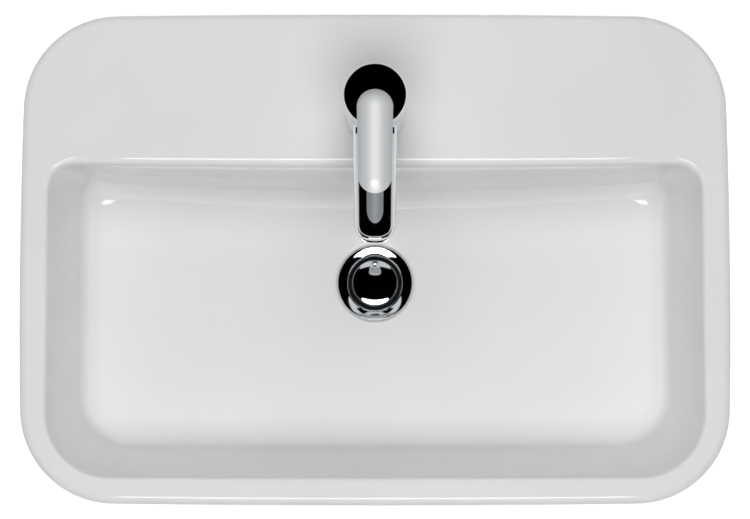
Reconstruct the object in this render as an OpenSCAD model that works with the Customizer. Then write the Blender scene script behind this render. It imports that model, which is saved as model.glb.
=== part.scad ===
// Countertop basin with a single-lever tap and a click waste.
// X runs to the right, Y to the back and Z up. The origin is on the countertop, under the middle of
// the basin. Threads are plain cylinders at their real diameters.

/* [Basin] */
// Overall width, left to right
basin_w = 600; // [560:1:700]
// Overall depth, front to back
basin_d = 416; // [410:1:480]
// Height of the rim above the countertop
basin_h = 160; // [156:1:190]
// Plan radius of the four outer corners
corner_r = 80; // [60:1:100]
// Outward bow of each outer edge at its middle
edge_bow = 1.5; // [0:0.1:3]
// Rounding between the top and the outer walls
rim_round = 7; // [4:0.5:9]
// How far the foot stands in from the rim
foot_inset = 9; // [4:0.5:12]
// Width of the foot ring on the countertop
foot_ring_w = 12; // [9:0.5:16]
// Thickness of the ceramic walls
wall_t = 8; // [6:0.5:9]
// Thickness of the tap deck
deck_t = 14; // [10:1:20]
// Thickness of the ceramic under the waste flange
seat_t = 12; // [9:1:14]

/* [Bowl] */
// Width of the rim left and right of the bowl
side_rim_w = 23.5; // [20:0.5:40]
// Width of the rim in front of the bowl
front_rim_w = 24.5; // [21:0.5:40]
// Depth of the tap deck behind the bowl
deck_d = 124; // [118:1:134]
// Depth of the bowl below the rim, at the waste
bowl_depth = 102; // [90:1:104]
// Fall of the floor from the foot of the walls to the waste
floor_fall = 7; // [3:1:12]
// Plan radius of the back corners of the bowl
bowl_back_r = 24; // [18:1:40]
// Plan radius of the front corners of the bowl
bowl_front_r = 54; // [40:1:70]
// Rounding of the upper edge of the bowl
lip_r = 2.5; // [1:0.5:4]
// Lean of the side walls, from the lip to the fillet
side_run = 12; // [8:1:20]
// Lean of the front wall, from the lip to the fillet
front_run = 18; // [10:1:26]
// Lean of the back wall, from the lip to the fillet
back_run = 15; // [10:1:30]
// Radius of the fillet between the walls and the floor
fillet_r = 20; // [12:1:26]
// Horizontal reach of the tighter fillet at the back wall
back_fillet = 7; // [4:1:16]
// Forward bow of the foot of the back wall at its middle
back_foot_bow = 8; // [0:1:12]
// Forward bow of the upper edge of the back wall at its middle
back_lip_bow = 1.7; // [0:0.1:4]

/* [Waste] */
// Distance of the waste behind which the bowl's back edge lies
waste_from_back_edge = 100.5; // [90:0.5:120]
// Diameter of the waste flange
flange_d = 66; // [62:0.5:68]
// Height of the flange above its seat
flange_h = 4.2; // [3:0.1:5]
// Depth of the recess that the flange stands in
recess_depth = 3; // [1:0.5:4]
// Width of the recess beyond the flange, all round
recess_gap = 3; // [1:0.5:5]
// Outer diameter of the threaded tail
tail_d = 41.9; // [41.5:0.1:42.5]
// Wall of the threaded tail
tail_wall = 3.4; // [2.5:0.1:4]
// Height of the lower end of the tail above the countertop
tail_end_h = 3; // [1:0.5:6]
// Diameter of the plug cap
plug_d = 40; // [38:0.5:41]
// Thickness of the plug cap
plug_t = 4.5; // [3:0.5:6]
// Height of the closed plug above the flange
plug_proud = 0.8; // [0.8:0.1:2]
// Travel of the plug from open to closed
plug_travel = 8; // [5:0.5:9]
// Across flats of the back nut
back_nut_af = 54; // [50:1:58]

/* [Tap] */
// Distance of the tap axis from the back edge of the basin
tap_from_back = 88; // [78:1:94]
// Diameter of the hole in the deck
deck_hole_d = 35; // [35:0.5:36]
// Diameter of the tap body
body_d = 50; // [49:0.5:56]
// Height of the tap body above the deck
body_h = 86; // [84:1:110]
// Reach of the spout, from the tap axis to its tip
spout_reach = 112.5; // [105:0.5:150]
// Width of the spout at the body
spout_w = 36; // [34:0.5:42]
// Width of the spout at its tip
spout_tip_w = 33; // [31:0.5:36]
// Length of the rounded tip of the spout
spout_tip_len = 16; // [10:1:24]
// Drop of the top of the spout, where it leaves the body, below the top of the body
spout_drop = 10; // [7:0.5:12]
// Upward slope of the top of the spout, in degrees
spout_rise = 9; // [2:1:11]
// Thickness of the spout at its tip
spout_tip_t = 24; // [22:0.5:27]
// Thickness of the spout where it leaves the body
spout_root_t = 34; // [32:1:40]
// Diameter of the aerator
aerator_d = 24; // [22:0.5:24]
// Distance of the aerator axis from the tip
aerator_from_tip = 15.5; // [15:0.5:22]
// Diameter of the bore of each hose inlet
inlet_d = 8.9; // [8.5:0.1:9]
// Diameter of the fixing stud
stud_d = 8; // [6:0.5:8]
// Length of the fixing stud below the deck top
stud_len = 60; // [52:1:80]

/* [Lever] */
// Diameter of the handle cap
cap_d = 49.4; // [49:0.1:52]
// Height of the top of the cap above the tap body
cap_h = 32; // [31:0.5:40]
// Reach of the lever in front of the tap axis
lever_front = 78.5; // [60:0.5:110]
// Reach of the lever behind the tap axis
lever_back = 4; // [3:0.5:9]
// Width of the lever at the cap
lever_w = 30; // [26:0.5:36]
// Width of the lever at its tip
lever_tip_w = 25.2; // [20:0.5:30]
// Thickness of the lever over the cap
lever_t = 8; // [7:0.5:12]
// Thickness of the lever at its tip
lever_tip_t = 6; // [4:0.5:9]
// Upward slope of the lever, in degrees
lever_rise = 6; // [2:1:14]
// Lift of the lever from closed to full flow, in degrees
lever_lift = 25; // [18:1:26]

/* [Cartridge] */
// Diameter of the cartridge
cartridge_d = 34.6; // [34.2:0.1:35]
// Diameter of the dome under the handle
dome_d = 40; // [39.6:0.1:41]
// Width of the square stem
stem_w = 8; // [7:0.5:8.5]
// Diameter of the pin that the stem tilts on
pin_d = 4; // [3:0.5:4.5]
// Distance from the pin down to the middle of the stem's ball
ball_drop = 11.5; // [11:0.5:12]
// Diameter of the ball
ball_d = 7; // [6:0.5:7]

/* [Hidden] */
$fn = 96;

// Clearance between a thread and the hole it is screwed into
thread_gap = 0.1;
// Clearance between pieces that turn or slide in each other
run_gap = 0.2;
// Clearance between the handle and the tap body
cap_gap = 0.4;
// Overlap of a cutting shape beyond the face it cuts
cut = 1;

// Plan points on each corner, and on each straight edge between two corners
corner_steps = 8;
edge_steps = 8;
// Rings on a quarter round
round_steps = 4;

// The bowl's opening and the places of the tap and the waste
open_x = basin_w / 2 - side_rim_w;
open_front = -basin_d / 2 + front_rim_w;
open_back = basin_d / 2 - deck_d;
tap_y = basin_d / 2 - tap_from_back;
waste_y = open_back - waste_from_back_edge;
seat_z = basin_h - bowl_depth - recess_depth;

// Heights in the tap, above the deck. The stem pin lies in the plane of the body's top.
gasket_t = 1.2;
pin_z = body_h;
cartridge_depth = 30;
cartridge_floor_z = pin_z - cartridge_depth;
seal_t = 1;
base_z = cartridge_floor_z + seal_t;
base_floor_t = 5;
fixed_disc_z = base_z + base_floor_t;
disc_t = 4;
base_top_z = fixed_disc_z + disc_t / 2;
moving_disc_z = fixed_disc_z + disc_t;
holder_z = moving_disc_z + disc_t;
ball_z = pin_z - ball_drop;
ball_grip = 1;
holder_top_z = ball_z + ball_grip;
turret_play = 0.5;
turret_z = holder_top_z + turret_play;
turret_flange_t = 2;
lip_z = turret_z + turret_flange_t + run_gap;
lip_t = 1;
shoulder_z = lip_z + lip_t;
dome_skirt = 3;
dome_z = pin_z - dome_skirt;
nut_hex_h = 2.5;
collar_h = 6;
housing_top_z = pin_z + collar_h;
turret_top_z = housing_top_z + 1;
cap_top_z = body_h + cap_h;
stem_below_top = 2;
stem_top_z = cap_top_z - stem_below_top;

// Radii in the tap
cartridge_r = cartridge_d / 2;
housing_wall = 2.3;
chamber_r = cartridge_r - housing_wall;
lip_w = 2;
neck_r = chamber_r - lip_w;
collar_r = chamber_r;
disc_r = 11;
disc_wall = 4;
disc_back = 2.4;
fixed_disc_r = chamber_r - 1.4;
dome_r = dome_d / 2;
dome_wall = 1.5;
dome_gap = 0.4;
nut_bore_r = dome_r + dome_gap;
stem_slot_r = 13.5;
cap_r = cap_d / 2;
cavity_gap = 1.5;
cap_cavity_r = dome_r + cavity_gap;
port_r = 3.2;
seal_cord = 0.8;
seal_groove = 0.9;
inlet_x = 7.5;
inlet_y = 1;
outlet_y = -9;
outlet_r = 4;
waterway_r = 4.5;
stud_y = 12.5;
stud_in_body = 14;
inlet_depth = 14;
outlet_depth = 10;
aerator_y = -spout_reach + aerator_from_tip;
aerator_r = aerator_d / 2;
aerator_wall = 1.8;
aerator_lip_h = 2;
aerator_ledge = 2.5;
spout_root_z = body_h - spout_drop;
spout_tip_z = spout_root_z + (spout_reach - body_d / 2) * tan(spout_rise);
spout_bottom_z = spout_tip_z - spout_tip_t;
spout_skin = 2.5;
aerator_depth = 9.5;
aerator_seat_z = spout_bottom_z + aerator_depth;
aerator_room = 5;
aerator_seal_t = 1.5;

// Heights in the waste, above the ceramic seat
tail_r = tail_d / 2;
tail_bore_r = tail_r - tail_wall;
waste_hole_gap = 2;
waste_hole_r = tail_r + waste_hole_gap;
flange_r = flange_d / 2;
flange_edge = 1;
flange_top_w = 1.5;
flange_seal_t = 1.2;
tail_len = seat_z - tail_end_h;
throat_z = -3;
dish_t = 1;
dish_z = flange_seal_t + dish_t;
dish_gap = 1.3;
neck_gap = 0.75;
waste_neck_r = waste_hole_r - neck_gap;
plug_r = plug_d / 2;
plug_open_z = flange_h - plug_t + plug_proud + plug_travel;
plug_seal_t = 2;
plug_seal_w = 4;
plug_seal_lap = 0.8;
plug_seal_r = tail_bore_r + plug_seal_lap;
click_r = 6.5;
click_bore_r = 4.6;
click_z = -32;
click_top_z = -9;
click_floor_t = 2;
spring_len = 3;
plunger_r = click_bore_r - run_gap;
plunger_rod_r = 3;
plunger_bottom_z = click_z + click_floor_t + plug_travel + spring_len;
arm_z = -18;
arm_t = 4;
arm_w = 3;
arm_hub_w = 2.5;
lower_seal_t = 4;
slip_t = 1.5;
back_nut_h = 10;
back_nut_top_z = -seat_t - lower_seal_t - slip_t;
relief_w = 2;
relief_t = 1;
relief_gap = 0.5;
relief_z = back_nut_top_z - back_nut_h - relief_gap;

// Points of one rounded corner, a quarter turn that starts at angle from
function corner(cx, cy, r, from) =
    [for (i = [0 : corner_steps])
        let (a = from + 90 * i / corner_steps)
        [cx + r * cos(a), cy + r * sin(a)]];

// Points strictly between p and q on an edge that bows to its right-hand side
function edge(p, q, bow) =
    let (d = q - p, out = [d.y, -d.x] / norm(d))
    [for (i = [1 : edge_steps - 1])
        let (t = i / edge_steps)
        p + d * t + out * 4 * bow * t * (1 - t)];

// Counter-clockwise ring of a rectangle with rounded corners and bowed edges, at height z
function ring(x, front, back, front_r, back_r, side_bow, front_bow, back_bow, z) =
    let (right_front = corner(x - front_r, front + front_r, front_r, -90),
        right_back = corner(x - back_r, back - back_r, back_r, 0),
        left_back = corner(-x + back_r, back - back_r, back_r, 90),
        left_front = corner(-x + front_r, front + front_r, front_r, 180),
        plan = concat(
            right_front, edge(right_front[corner_steps], right_back[0], side_bow),
            right_back, edge(right_back[corner_steps], left_back[0], back_bow),
            left_back, edge(left_back[corner_steps], left_front[0], side_bow),
            left_front, edge(left_front[corner_steps], right_front[0], front_bow)))
    [for (p = plan) [p.x, p.y, z]];

// Ring of the outer walls, a distance in from the rim
function outer_ring(in, z) =
    ring(basin_w / 2 - edge_bow - in, -basin_d / 2 + edge_bow + in, basin_d / 2 - edge_bow - in,
        corner_r - in, corner_r - in, edge_bow, edge_bow, edge_bow, z);

// Ring of the bowl, set in by its own amount at the sides, the front and the back
function bowl_ring(side_in, front_in, back_in, grow, back_bow, z) =
    ring(open_x - side_in, open_front + front_in, open_back - back_in,
        bowl_front_r - front_in / 3 + grow, bowl_back_r + grow, 0, edge_bow / 2, -back_bow, z);

// Ring of points around the waste axis, each in the direction of the matching point of a ring
function round_ring(like, r, z) =
    [for (p = like)
        let (d = [p.x, p.y - waste_y])
        [r * d.x / norm(d), waste_y + r * d.y / norm(d), z]];

// Ring part of the way from one ring to another
function between(a, b, t) = [for (i = [0 : len(a) - 1]) a[i] + (b[i] - a[i]) * t];

// Ring of the bowl, lowered towards the waste: in full at the foot of the walls, not at the rim
function fallen(ring) =
    [for (p = ring)
        let (far = min(1, norm([p.x, p.y - waste_y]) / (open_x - side_run)),
            share = (basin_h - p.z) / (basin_h - foot_z))
        [p.x, p.y, p.z - floor_fall * (1 - far) * share]];

// The basin's surface as a closed row of rings: up the outside, over the rim, down the bowl to the
// waste, back under the floor and the deck, and down the inside to the foot. The recess and the
// two holes are cut later.
foot_z = basin_h - bowl_depth + floor_fall;
wall_end_z = foot_z + fillet_r;
foot = fallen(bowl_ring(side_run + fillet_r, front_run + fillet_r, back_run + back_fillet, 0,
    back_foot_bow, foot_z));
under_foot = fallen(bowl_ring(side_run + fillet_r - wall_t, front_run + fillet_r - wall_t,
    back_run + back_fillet - wall_t, wall_t, back_foot_bow, foot_z - wall_t));
recess_r = flange_r + recess_gap;
floor_z = basin_h - bowl_depth;
floor_flat = 2;
pilot_r = tail_bore_r - 3;
basin_rings = concat(
    [outer_ring(foot_inset, 0)],
    [for (i = [0 : round_steps])
        let (a = 90 * i / round_steps)
        outer_ring(rim_round * (1 - cos(a)), basin_h - rim_round * (1 - sin(a)))],
    [for (i = [0 : round_steps / 2])
        let (a = 180 * i / round_steps)
        bowl_ring(-lip_r * (1 - sin(a)), -lip_r * (1 - sin(a)), -lip_r * (1 - sin(a)),
            lip_r * (1 - sin(a)), back_lip_bow, basin_h - lip_r * (1 - cos(a)))],
    [for (i = [0 : round_steps])
        let (a = 90 * i / round_steps, t = i / round_steps)
        fallen(bowl_ring(side_run + fillet_r * (1 - cos(a)), front_run + fillet_r * (1 - cos(a)),
            back_run + back_fillet * (1 - cos(a)), 0,
            back_lip_bow + (back_foot_bow - back_lip_bow) * (0.8 + 0.2 * t),
            wall_end_z - fillet_r * sin(a)))],
    [between(foot, round_ring(foot, recess_r, floor_z), 0.5),
        round_ring(foot, recess_r + floor_flat, floor_z),
        round_ring(foot, pilot_r, floor_z),
        round_ring(under_foot, pilot_r, seat_z - seat_t),
        round_ring(under_foot, recess_r + floor_flat, seat_z - seat_t),
        under_foot,
        bowl_ring(-wall_t, -wall_t, -wall_t, wall_t, back_lip_bow, basin_h - deck_t),
        outer_ring(wall_t + foot_inset * deck_t / basin_h, basin_h - deck_t),
        outer_ring(foot_inset + foot_ring_w, 0)]);

// Closed solid through a row of rings, the last of which joins the first
module ring_solid(rings) {
    n = len(rings[0]);
    m = len(rings);
    polyhedron(
        points = [for (r = rings) for (p = r) p],
        faces = [for (i = [0 : m - 1]) for (j = [0 : n - 1])
            let (a = i * n + j, b = i * n + (j + 1) % n,
                c = ((i + 1) % m) * n + j, d = ((i + 1) % m) * n + (j + 1) % n)
            each [[a, c, d], [a, d, b]]]);
}

// Cylinder from height z0 to height z1
module rod(r, z0, z1) {
    translate([0, 0, z0])
        cylinder(r = r, h = z1 - z0);
}

// Ring between two radii, from height z0 to height z1
module tube(r_out, r_in, z0, z1) {
    difference() {
        rod(r_out, z0, z1);
        rod(r_in, z0 - cut, z1 + cut);
    }
}

// Plate with the outline of its child, from height z0 to height z1
module plate(z0, z1) {
    translate([0, 0, z0])
        linear_extrude(height = z1 - z0)
        children();
}

// Bar across the part, whose side profile in Y and Z is its child
module across(w) {
    rotate([90, 0, 90])
        translate([0, 0, -w / 2])
        linear_extrude(height = w)
        children();
}

// Hexagon of a given width across flats
module hexagon(af) {
    circle(d = af / cos(30), $fn = 6);
}

module at_tap() {
    translate([0, tap_y, basin_h])
        children();
}

module at_waste() {
    translate([0, waste_y, seat_z])
        children();
}

module basin() {
    color("white")
    difference() {
        ring_solid(basin_rings);
        at_tap()
            rod(deck_hole_d / 2, -deck_t - cut, cut);
        at_waste() {
            cylinder(r1 = recess_r - recess_depth / 2, r2 = recess_r + recess_depth / 2,
                h = 2 * recess_depth);
            rod(waste_hole_r, -seat_t - cut, cut);
        }
    }
}

// Plan of the spout: straight sides that close to a rounded tip
module spout_plan() {
    steps = 12;
    tip_y = -spout_reach + spout_tip_len;
    polygon(concat(
        [[spout_w / 2, -body_d / 4], [-spout_w / 2, -body_d / 4]],
        [for (i = [0 : 2 * steps])
            let (a = 90 * i / steps, c = cos(a), s = sin(a))
            [-spout_tip_w / 2 * sign(c) * pow(abs(c), 0.8), tip_y - spout_tip_len * pow(s, 0.8)]]));
}

// Side profile of the spout: rising on top and underneath, and level under the aerator
module spout_side() {
    level_y = aerator_y + aerator_r + spout_skin;
    polygon([[0, spout_root_z], [0, spout_root_z - spout_root_t],
        [-body_d / 2, spout_root_z - spout_root_t], [level_y, spout_bottom_z],
        [-spout_reach, spout_bottom_z], [-spout_reach, spout_tip_z],
        [-body_d / 2, spout_root_z]]);
}

// Waterway that climbs from under the cartridge to the chamber over the aerator
module waterway() {
    start = [outlet_y, cartridge_floor_z - outlet_depth + 1];
    end = [aerator_y + aerator_r - aerator_ledge - 2.5, aerator_seat_z + 2];
    run = end - start;
    translate([0, start.x, start.y])
        rotate([90 - atan2(run.y, -run.x), 0, 0])
        cylinder(r = waterway_r, h = norm(run));
}

module tap_body() {
    color("silver")
    at_tap()
    difference() {
        union() {
            rod(body_d / 2, gasket_t, body_h);
            intersection() {
                plate(0, body_h)
                    spout_plan();
                across(body_d)
                    spout_side();
            }
        }
        rod(cartridge_r + run_gap, cartridge_floor_z, body_h + cut);
        rod(nut_bore_r, shoulder_z, body_h + cut);
        for (side = [-1, 1])
            translate([side * inlet_x, inlet_y, 0]) {
                rod(inlet_d / 2, gasket_t - cut, gasket_t + inlet_depth);
                rod(port_r, gasket_t, cartridge_floor_z + cut);
            }
        translate([0, outlet_y, 0])
            rod(outlet_r, cartridge_floor_z - outlet_depth, cartridge_floor_z + cut);
        waterway();
        translate([0, aerator_y, 0]) {
            rod(aerator_r + thread_gap, 0, aerator_seat_z);
            rod(aerator_r - aerator_ledge, 0, aerator_seat_z + aerator_room);
        }
        translate([0, stud_y, 0])
            rod(stud_d / 2 + thread_gap, gasket_t - cut, stud_in_body + 2);
    }
}

// Rise of the cap's lower edge from the front to the back, so that it clears the body when lifted
cap_back_z = (cap_gap + cap_r * sin(lever_lift)) / cos(lever_lift) + cap_gap;
cap_slope = atan2(cap_back_z - cap_gap, cap_d);

module lever_plan() {
    back_r = lever_w / 2;
    tip_r = lever_tip_w / 2;
    back_y = lever_back - back_r;
    tip_y = -lever_front + tip_r;
    translate([0, back_y])
        circle(r = back_r);
    translate([0, tip_y])
        circle(r = tip_r);
    polygon([[-back_r, back_y], [back_r, back_y], [tip_r, tip_y], [-tip_r, tip_y]]);
}

module lever_side() {
    top_z = cap_top_z + lever_t;
    rise = lever_front * tan(lever_rise);
    polygon([[lever_back + cut, top_z], [lever_back + cut, cap_top_z - cut],
        [-cap_r / 2, cap_top_z - cut], [-lever_front - cut, top_z + rise - lever_tip_t],
        [-lever_front - cut, top_z + rise]]);
}

// The grub screw behind the stem, and the cover button over it
screw_z = cap_top_z - 5;
screw_d = 5;
screw_len = 8;
socket_af = 2.5;
socket_t = 3;
button_d = 6.8;
button_t = 3;
button_sunk = 0.3;

module lever_handle() {
    color("silver")
    at_tap()
    difference() {
        union() {
            rod(cap_r, body_h, cap_top_z);
            intersection() {
                plate(body_h, 2 * cap_top_z)
                    lever_plan();
                across(lever_w + cut)
                    lever_side();
            }
        }
        translate([0, -cap_r, body_h + cap_gap])
            rotate([cap_slope, 0, 0])
            translate([-cap_d, -cap_d, -cap_d])
            cube([2 * cap_d, 4 * cap_d, cap_d]);
        rod(cap_cavity_r, body_h - cut, body_h + dome_r + cavity_gap);
        plate(body_h, stem_top_z + run_gap)
            square(stem_w + 2 * thread_gap, center = true);
        translate([0, 0, screw_z])
            rotate([-90, 0, 0]) {
                cylinder(d = screw_d + 2 * thread_gap, h = cap_d);
                translate([0, 0, cap_r - button_t])
                    cylinder(d = button_d + 2 * thread_gap, h = button_t + cut);
            }
    }
}

module handle_screw() {
    color("dimgray")
    at_tap()
    translate([0, stem_w / 2, screw_z])
        rotate([-90, 0, 0])
        difference() {
            cylinder(d = screw_d, h = screw_len);
            translate([0, 0, screw_len - socket_t])
                linear_extrude(height = socket_t + cut)
                hexagon(socket_af);
        }
}

module handle_plug() {
    color("silver")
    at_tap()
    translate([0, cap_r - button_t, screw_z])
        rotate([-90, 0, 0])
        cylinder(d = button_d, h = button_t - button_sunk);
}

module dome_cover() {
    color("silver")
    at_tap()
    difference() {
        union() {
            rod(dome_r, dome_z, pin_z);
            intersection() {
                translate([0, 0, pin_z])
                    sphere(r = dome_r);
                rod(dome_r + cut, pin_z, pin_z + dome_r + cut);
            }
        }
        rod(dome_r - dome_wall, dome_z - cut, pin_z);
        translate([0, 0, pin_z])
            sphere(r = dome_r - dome_wall);
        rod(stem_slot_r, pin_z, pin_z + dome_r + cut);
    }
}

module cartridge_nut() {
    color("goldenrod")
    at_tap()
    difference() {
        union() {
            rod(nut_bore_r - thread_gap, shoulder_z, dome_z);
            plate(dome_z, dome_z + nut_hex_h)
                hexagon(2 * (dome_r - dome_wall - dome_gap) * cos(30));
        }
        rod(collar_r + run_gap, shoulder_z - cut, dome_z + nut_hex_h + cut);
    }
}

module cartridge_housing() {
    color("whitesmoke")
    at_tap()
    difference() {
        union() {
            rod(cartridge_r, base_top_z, shoulder_z);
            rod(collar_r, shoulder_z, housing_top_z);
        }
        rod(chamber_r, base_top_z - cut, lip_z);
        rod(neck_r, lip_z - cut, housing_top_z + cut);
    }
}

module cartridge_turret() {
    slot_play = 0.6;
    slot_front = -(ball_drop * tan(lever_lift) + stem_w / 2 + slot_play);
    slot_back = (turret_top_z - pin_z) * tan(lever_lift) + stem_w / 2 / cos(lever_lift)
        + slot_play + run_gap;
    color("whitesmoke")
    at_tap()
    difference() {
        union() {
            rod(chamber_r - run_gap, turret_z, lip_z - run_gap);
            rod(neck_r - run_gap, turret_z, turret_top_z);
        }
        translate([-stem_w / 2 - run_gap, slot_front, turret_z - cut])
            cube([stem_w + 2 * run_gap, slot_back - slot_front, turret_top_z - turret_z + 2 * cut]);
        translate([0, 0, pin_z])
            rotate([0, 90, 0])
            cylinder(d = pin_d + 0.04, h = 2 * neck_r + cut, center = true);
    }
}

module lever_stem() {
    neck_d = ball_d - 1.5;
    bar_z = ball_z + ball_d / 2;
    color("gray")
    at_tap()
    difference() {
        union() {
            translate([0, 0, ball_z])
                sphere(d = ball_d);
            rod(neck_d / 2, ball_z, bar_z + cut);
            plate(bar_z, stem_top_z)
                square(stem_w, center = true);
        }
        translate([0, 0, pin_z])
            rotate([0, 90, 0])
            cylinder(d = pin_d + 0.1, h = stem_w + cut, center = true);
    }
}

module stem_pin() {
    color("silver")
    at_tap()
    translate([0, 0, pin_z])
        rotate([0, 90, 0])
        cylinder(d = pin_d, h = 2 * (neck_r - 1), center = true);
}

module disc_holder() {
    color("lightsteelblue")
    at_tap()
    difference() {
        translate([0, disc_back, 0])
            rod(disc_r, holder_z, holder_top_z);
        rod(ball_d / 2 + 0.15, ball_z - ball_d / 2 - 0.2, holder_top_z + cut);
    }
}

module moving_disc() {
    color("white")
    at_tap()
    translate([0, disc_back, 0])
        difference() {
            rod(disc_r, moving_disc_z + 0.02, holder_z);
            rod(disc_r - disc_wall, moving_disc_z - cut, moving_disc_z + disc_t / 2);
        }
}

// The two inlet ports and the outlet port
module ports(r, z0, z1) {
    for (p = [[-inlet_x, inlet_y], [inlet_x, inlet_y], [0, outlet_y]])
        translate(p)
            rod(r, z0, z1);
}

module fixed_disc() {
    color("white")
    at_tap()
    difference() {
        rod(fixed_disc_r, fixed_disc_z, moving_disc_z);
        ports(port_r, fixed_disc_z - cut, moving_disc_z + cut);
    }
}

module cartridge_base() {
    color("lightsteelblue")
    at_tap()
    difference() {
        rod(cartridge_r, base_z, base_top_z);
        rod(fixed_disc_r + thread_gap, fixed_disc_z, base_top_z + cut);
        ports(port_r, base_z - cut, fixed_disc_z + cut);
    }
}

module cartridge_seals() {
    color("black")
    at_tap()
    difference() {
        ports(port_r + seal_groove + seal_cord, cartridge_floor_z, base_z);
        ports(port_r + seal_groove, cartridge_floor_z - cut, base_z + cut);
    }
}

module aerator_housing() {
    color("silver")
    at_tap()
    translate([0, aerator_y, 0])
        tube(aerator_r, aerator_r - aerator_wall, spout_bottom_z - aerator_lip_h,
            aerator_seat_z - aerator_seal_t);
}

module aerator_insert() {
    bottom_z = spout_bottom_z - aerator_lip_h / 2;
    jet_r = 1.2;
    color("gainsboro")
    at_tap()
    translate([0, aerator_y, 0])
        difference() {
            rod(aerator_r - aerator_wall - 0.05, bottom_z, aerator_seat_z - aerator_seal_t);
            for (i = [0 : 5])
                rotate([0, 0, 60 * i])
                translate([aerator_r / 2, 0, 0])
                rod(jet_r, bottom_z - cut, aerator_seat_z);
        }
}

module aerator_seal() {
    color("black")
    at_tap()
    translate([0, aerator_y, 0])
        tube(aerator_r, aerator_r - aerator_ledge - 1, aerator_seat_z - aerator_seal_t,
            aerator_seat_z);
}

module tap_base_seal() {
    gasket_in = 0.6;
    color("black")
    at_tap()
        tube(body_d / 2 - gasket_in, deck_hole_d / 2 + gasket_in, 0, gasket_t);
}

module fixing_stud() {
    color("goldenrod")
    at_tap()
    translate([0, stud_y, 0])
        rod(stud_d / 2, -stud_len, stud_in_body);
}

// The clamp under the deck
pad_t = 3;
clamp_t = 3;
horseshoe_r = 26;
hose_d = 12;
stud_web = 1.7;

// Horseshoe around the two hoses, with a hole for the stud
module horseshoe(r) {
    hose_w = 2 * inlet_x + hose_d;
    difference() {
        circle(r = r);
        translate([-hose_w / 2, -2 * r])
            square([hose_w, 2 * r + stud_y - stud_d / 2 - stud_web]);
        translate([0, stud_y])
            circle(r = stud_d / 2 + run_gap);
    }
}

module deck_pad() {
    color("dimgray")
    at_tap()
    plate(-deck_t - pad_t, -deck_t)
        horseshoe(horseshoe_r);
}

module clamp_plate() {
    color("silver")
    at_tap()
    plate(-deck_t - pad_t - clamp_t, -deck_t - pad_t)
        horseshoe(horseshoe_r - 1);
}

module stud_nut() {
    nut_h = 18;
    nut_wall = 2.5;
    top_z = -deck_t - pad_t - clamp_t;
    color("goldenrod")
    at_tap()
    translate([0, stud_y, 0])
        difference() {
            plate(top_z - nut_h, top_z)
                hexagon(stud_d + 2 * nut_wall);
            rod(stud_d / 2 + thread_gap, top_z - nut_h - cut, top_z + cut);
        }
}

// Arms that carry the click barrel inside the tail
module arms() {
    intersection() {
        for (a = [90, 210, 330])
            rotate([0, 0, a])
            translate([0, -arm_w / 2, arm_z])
            cube([tail_r - 1, arm_w, arm_t]);
        rod(tail_r - 1, arm_z, arm_z + arm_t);
    }
    rod(click_r + arm_hub_w, arm_z, arm_z + arm_t);
}

module waste_body() {
    dish_r = plug_r + dish_gap;
    color("silver")
    at_waste()
    difference() {
        union() {
            rotate_extrude()
                polygon([[tail_bore_r, -tail_len], [tail_r, -tail_len],
                    [tail_r, relief_z - relief_w], [tail_r - relief_t, relief_z - relief_w],
                    [tail_r - relief_t, relief_z], [tail_r, relief_z], [tail_r, throat_z - 2],
                    [waste_neck_r, throat_z - 1], [waste_neck_r, flange_seal_t],
                    [flange_r, flange_seal_t], [flange_r, flange_h - flange_edge],
                    [flange_r - flange_edge, flange_h],
                    [flange_r - flange_edge - flange_top_w, flange_h], [dish_r, dish_z],
                    [tail_bore_r, throat_z]]);
            arms();
        }
        rod(click_r + thread_gap, arm_z - cut, arm_z + arm_t + cut);
    }
}

module flange_seal() {
    color("dimgray")
    at_waste()
        tube(flange_r - 2, waste_hole_r + 1, 0, flange_seal_t);
}

module lower_seal() {
    color("black")
    at_waste()
        tube(flange_r - 1, tail_r + run_gap, -seat_t - lower_seal_t, -seat_t);
}

module slip_washer() {
    color("whitesmoke")
    at_waste()
        tube(flange_r - 2, tail_r + run_gap, back_nut_top_z, -seat_t - lower_seal_t);
}

module back_nut() {
    bottom_z = back_nut_top_z - back_nut_h;
    color("goldenrod")
    at_waste()
    difference() {
        plate(bottom_z, back_nut_top_z)
            hexagon(back_nut_af);
        rod(tail_r + thread_gap, bottom_z - cut, back_nut_top_z + cut);
    }
}

module plug_cap() {
    edge_w = 2.5;
    edge_mid = edge_w * (1 - cos(45));
    chamfer = 0.6;
    top_z = plug_open_z + plug_t;
    color("silver")
    at_waste()
    rotate_extrude()
        polygon([[0, top_z], [plug_r - edge_w, top_z], [plug_r - edge_mid, top_z - edge_mid],
            [plug_r, top_z - edge_w], [plug_r, plug_open_z + chamfer],
            [plug_r - chamfer, plug_open_z], [0, plug_open_z]]);
}

module plug_seal() {
    color("black")
    at_waste()
        tube(plug_seal_r, plug_seal_r - plug_seal_w, plug_open_z - plug_seal_t, plug_open_z);
}

module click_housing() {
    color("whitesmoke")
    at_waste()
    difference() {
        rod(click_r, click_z, click_top_z);
        rod(click_bore_r, click_z + click_floor_t, click_top_z + cut);
    }
}

module click_plunger() {
    color("gray")
    at_waste() {
        rod(plunger_r, plunger_bottom_z, click_top_z + plug_travel);
        rod(plunger_rod_r, plunger_bottom_z, plug_open_z);
    }
}

module click_spring() {
    spring_play = 0.5;
    wire_d = 1.2;
    color("silver")
    at_waste()
        tube(click_bore_r - spring_play, click_bore_r - spring_play - wire_d,
            click_z + click_floor_t, plunger_bottom_z);
}

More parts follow.
